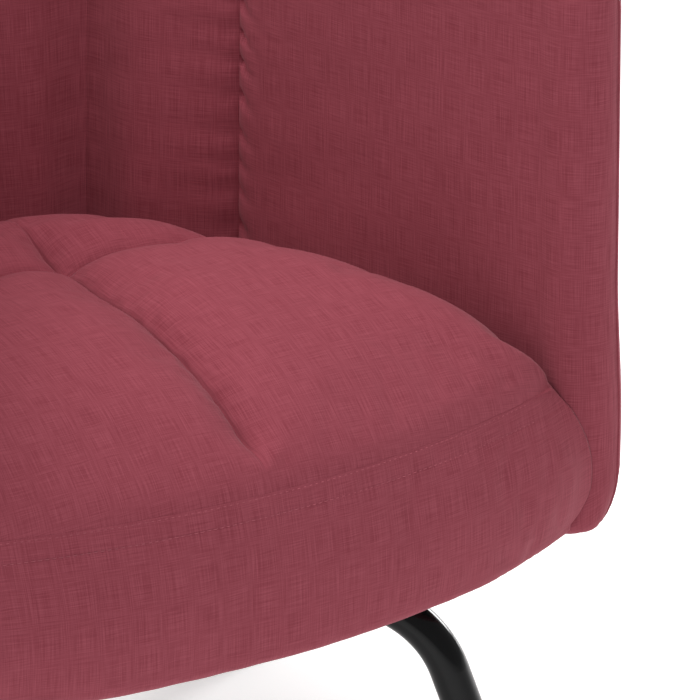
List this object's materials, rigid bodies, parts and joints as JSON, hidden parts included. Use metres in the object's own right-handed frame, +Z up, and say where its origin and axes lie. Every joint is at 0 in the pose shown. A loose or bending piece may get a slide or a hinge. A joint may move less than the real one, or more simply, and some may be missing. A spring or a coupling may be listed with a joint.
{
  "type": "glider nursery chair",
  "caption": "Upholstered tub chair with a tufted seat that glides on swinging links over a swivel turntable on a black tubular spider base.",
  "frame": {"origin": "on the floor, under the middle of the overall width and depth", "axes": "+Z up, the chair faces -Y, +X is right as seen from the front (the sitter's left), nodes named right are on +X; swivel axis parallel to Z at Y = -0.0936 m"},
  "size_m": [0.6734, 0.6837, 0.975],
  "materials": {
    "black_paint": "gloss black powder coat on steel",
    "bare_steel": "zinc-plated steel",
    "nylon": "moulded nylon",
    "rubber": "matte rubber",
    "foot_plastic": "black moulded plastic",
    "timber": "sawn pine and plywood",
    "felt": "needled felt and woven webbing",
    "dust_cloth": "black non-woven cloth",
    "linen": "berry-rose linen-look slub weave over foam"
  },
  "bodies": {
    "base": {"hub": "black_paint", "leg_front_left": "black_paint", "leg_front_right": "black_paint", "leg_rear_left": "black_paint", "leg_rear_right": "black_paint", "foot_glides": "foot_plastic", "spindle_bush": "nylon", "lower_race": "bare_steel", "bearing_balls": "bare_steel"},
    "turntable": {"turntable_plate": "black_paint", "spindle": "bare_steel", "upper_race": "bare_steel", "spindle_washer": "bare_steel", "spindle_nut": "bare_steel", "bracket_left": "black_paint", "bracket_right": "black_paint", "bracket_bushes": "nylon", "bracket_bolts": "bare_steel", "bracket_brace": "black_paint"},
    "front_links": {"link_front_left": "black_paint", "link_front_right": "black_paint", "front_pivot_shaft": "bare_steel", "front_link_bushes": "nylon", "front_shaft_clips": "bare_steel"},
    "rear_links": {"link_rear_left": "black_paint", "link_rear_right": "black_paint", "rear_pivot_shaft": "bare_steel", "rear_link_bushes": "nylon", "rear_shaft_clips": "bare_steel"},
    "seat": {"carriage_rail_left": "black_paint", "carriage_rail_right": "black_paint", "carriage_cross_front": "black_paint", "carriage_cross_rear": "black_paint", "bump_stops": "rubber", "carriage_pins": "bare_steel", "carriage_screws": "bare_steel", "front_rail": "timber", "rear_rail": "timber", "side_rail_left": "timber", "side_rail_right": "timber", "corner_blocks": "timber", "seat_springs": "bare_steel", "spring_clips": "bare_steel", "spring_pad": "felt", "dust_cover": "dust_cloth", "side_panel_left": "timber", "side_panel_right": "timber", "back_post_left": "timber", "back_post_right": "timber", "top_rail": "timber", "back_webbing": "felt", "seat_cushion": "linen", "seat_border": "linen", "arm_pad_left": "linen", "arm_pad_right": "linen", "corner_pad_left": "linen", "corner_pad_right": "linen", "back_pad": "linen", "outer_cover": "linen"}
  },
  "joints": [
    {"name": "swivel", "type": "hinge", "parent": "base", "child": "turntable", "pos_m": [0, -0.0936, 0.27], "axis": [0, 0, 1], "continuous": true},
    {"name": "glide", "type": "hinge", "parent": "turntable", "child": "front_links", "pos_m": [0, -0.1736, 0.356], "axis": [1, 0, 0], "range_deg": [-35, 35]},
    {"name": "rear_link_swing", "type": "hinge", "parent": "turntable", "child": "rear_links", "pos_m": [0, -0.0136, 0.356], "axis": [1, 0, 0], "range_deg": [-35, 35]},
    {"name": "seat_level", "type": "hinge", "parent": "front_links", "child": "seat", "pos_m": [0, -0.1736, 0.288], "axis": [1, 0, 0], "range_deg": [-35, 35]}
  ],
  "couplings": [
    {"joint": "rear_link_swing", "follows": "glide", "ratio": 1},
    {"joint": "seat_level", "follows": "glide", "ratio": -1}
  ]
}
